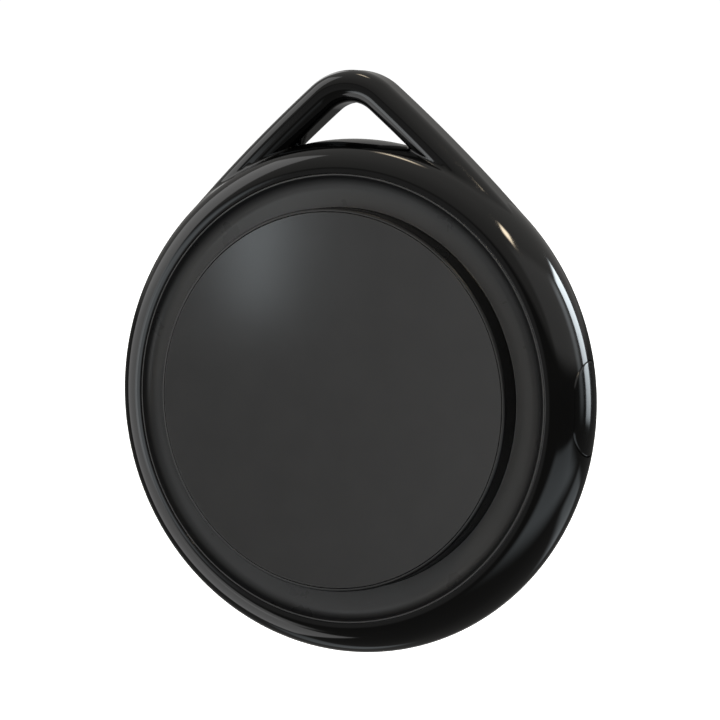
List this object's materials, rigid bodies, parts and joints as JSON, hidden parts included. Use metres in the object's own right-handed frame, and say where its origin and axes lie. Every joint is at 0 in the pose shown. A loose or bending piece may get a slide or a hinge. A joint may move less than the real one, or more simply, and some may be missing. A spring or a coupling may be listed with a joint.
{
  "type": "bluetooth tracker tag",
  "caption": "Round puck-shaped tracker tag with a triangular hanging loop, raised matte face, side button and twist-off rear battery door.",
  "frame": {"origin": "centre of the flat back face of the battery door", "axes": "+Z towards the hanging loop, +Y out of the back face, so the raised face looks along -Y and the button is on +X"},
  "size_m": [0.038, 0.0083, 0.043],
  "materials": {
    "housing_gloss": "polished piano-black injection moulding",
    "insert_satin": "satin",
    "face_matte": "fine matte, slightly soft to the touch",
    "button_gloss": "semi-gloss",
    "cover_satin": "fine spark-eroded texture",
    "door_matte": "fine spark-eroded texture",
    "seal_rubber": "moulded silicone",
    "adhesive_film": "double-sided film",
    "cradle_plastic": "moulded glass-filled nylon",
    "board_laminate": "solder mask",
    "chip_epoxy": "moulded epoxy",
    "antenna_ceramic": null,
    "sounder_ceramic": null,
    "tin_steel": "tinned",
    "cell_steel": "nickel plated",
    "screw_steel": "zinc plated",
    "sounder_brass": "rolled",
    "spring_metal": "gold-flashed phosphor bronze",
    "gasket_plastic": "polypropylene",
    "cell_core_mix": null
  },
  "bodies": {
    "case": {"housing": "housing_gloss", "front_insert": "insert_satin", "face_disc": "face_matte", "face_adhesive": "adhesive_film", "rear_cover": "cover_satin", "button_seal": "seal_rubber", "switch_body": "chip_epoxy", "battery_cradle": "cradle_plastic", "circuit_board": "board_laminate", "frame_screws": "screw_steel", "shield_can": "tin_steel", "radio_chip": "chip_epoxy", "chip_antenna": "antenna_ceramic", "main_crystal": "tin_steel", "clock_crystal": "tin_steel", "passive_parts": "antenna_ceramic", "piezo_plate": "sounder_brass", "piezo_ceramic": "sounder_ceramic", "buzzer_springs": "spring_metal", "negative_contact": "spring_metal", "positive_contact": "spring_metal", "coin_cell_can": "cell_steel", "coin_cell_cap": "cell_steel", "coin_cell_gasket": "gasket_plastic", "coin_cell_core": "cell_core_mix"},
    "button": {"side_button": "button_gloss"},
    "plunger": {"switch_plunger": "gasket_plastic"},
    "door": {"battery_door": "door_matte", "door_seal": "seal_rubber"}
  },
  "joints": [
    {"name": "button_press", "type": "slide", "parent": "case", "child": "button", "axis": [-1, 0, 0], "range_m": [0, 0.0003], "stiffness_N_per_m": 1200, "springref_m": -0.0008},
    {"name": "plunger_press", "type": "slide", "parent": "case", "child": "plunger", "axis": [-1, 0, 0], "range_m": [0, 0.0003]},
    {"name": "door_twist", "type": "hinge", "parent": "case", "child": "door", "pos_m": [0, 0, 0], "axis": [0, 1, 0], "range_deg": [0, 30]}
  ],
  "couplings": [
    {"joint": "plunger_press", "follows": "button_press", "ratio": 1}
  ]
}
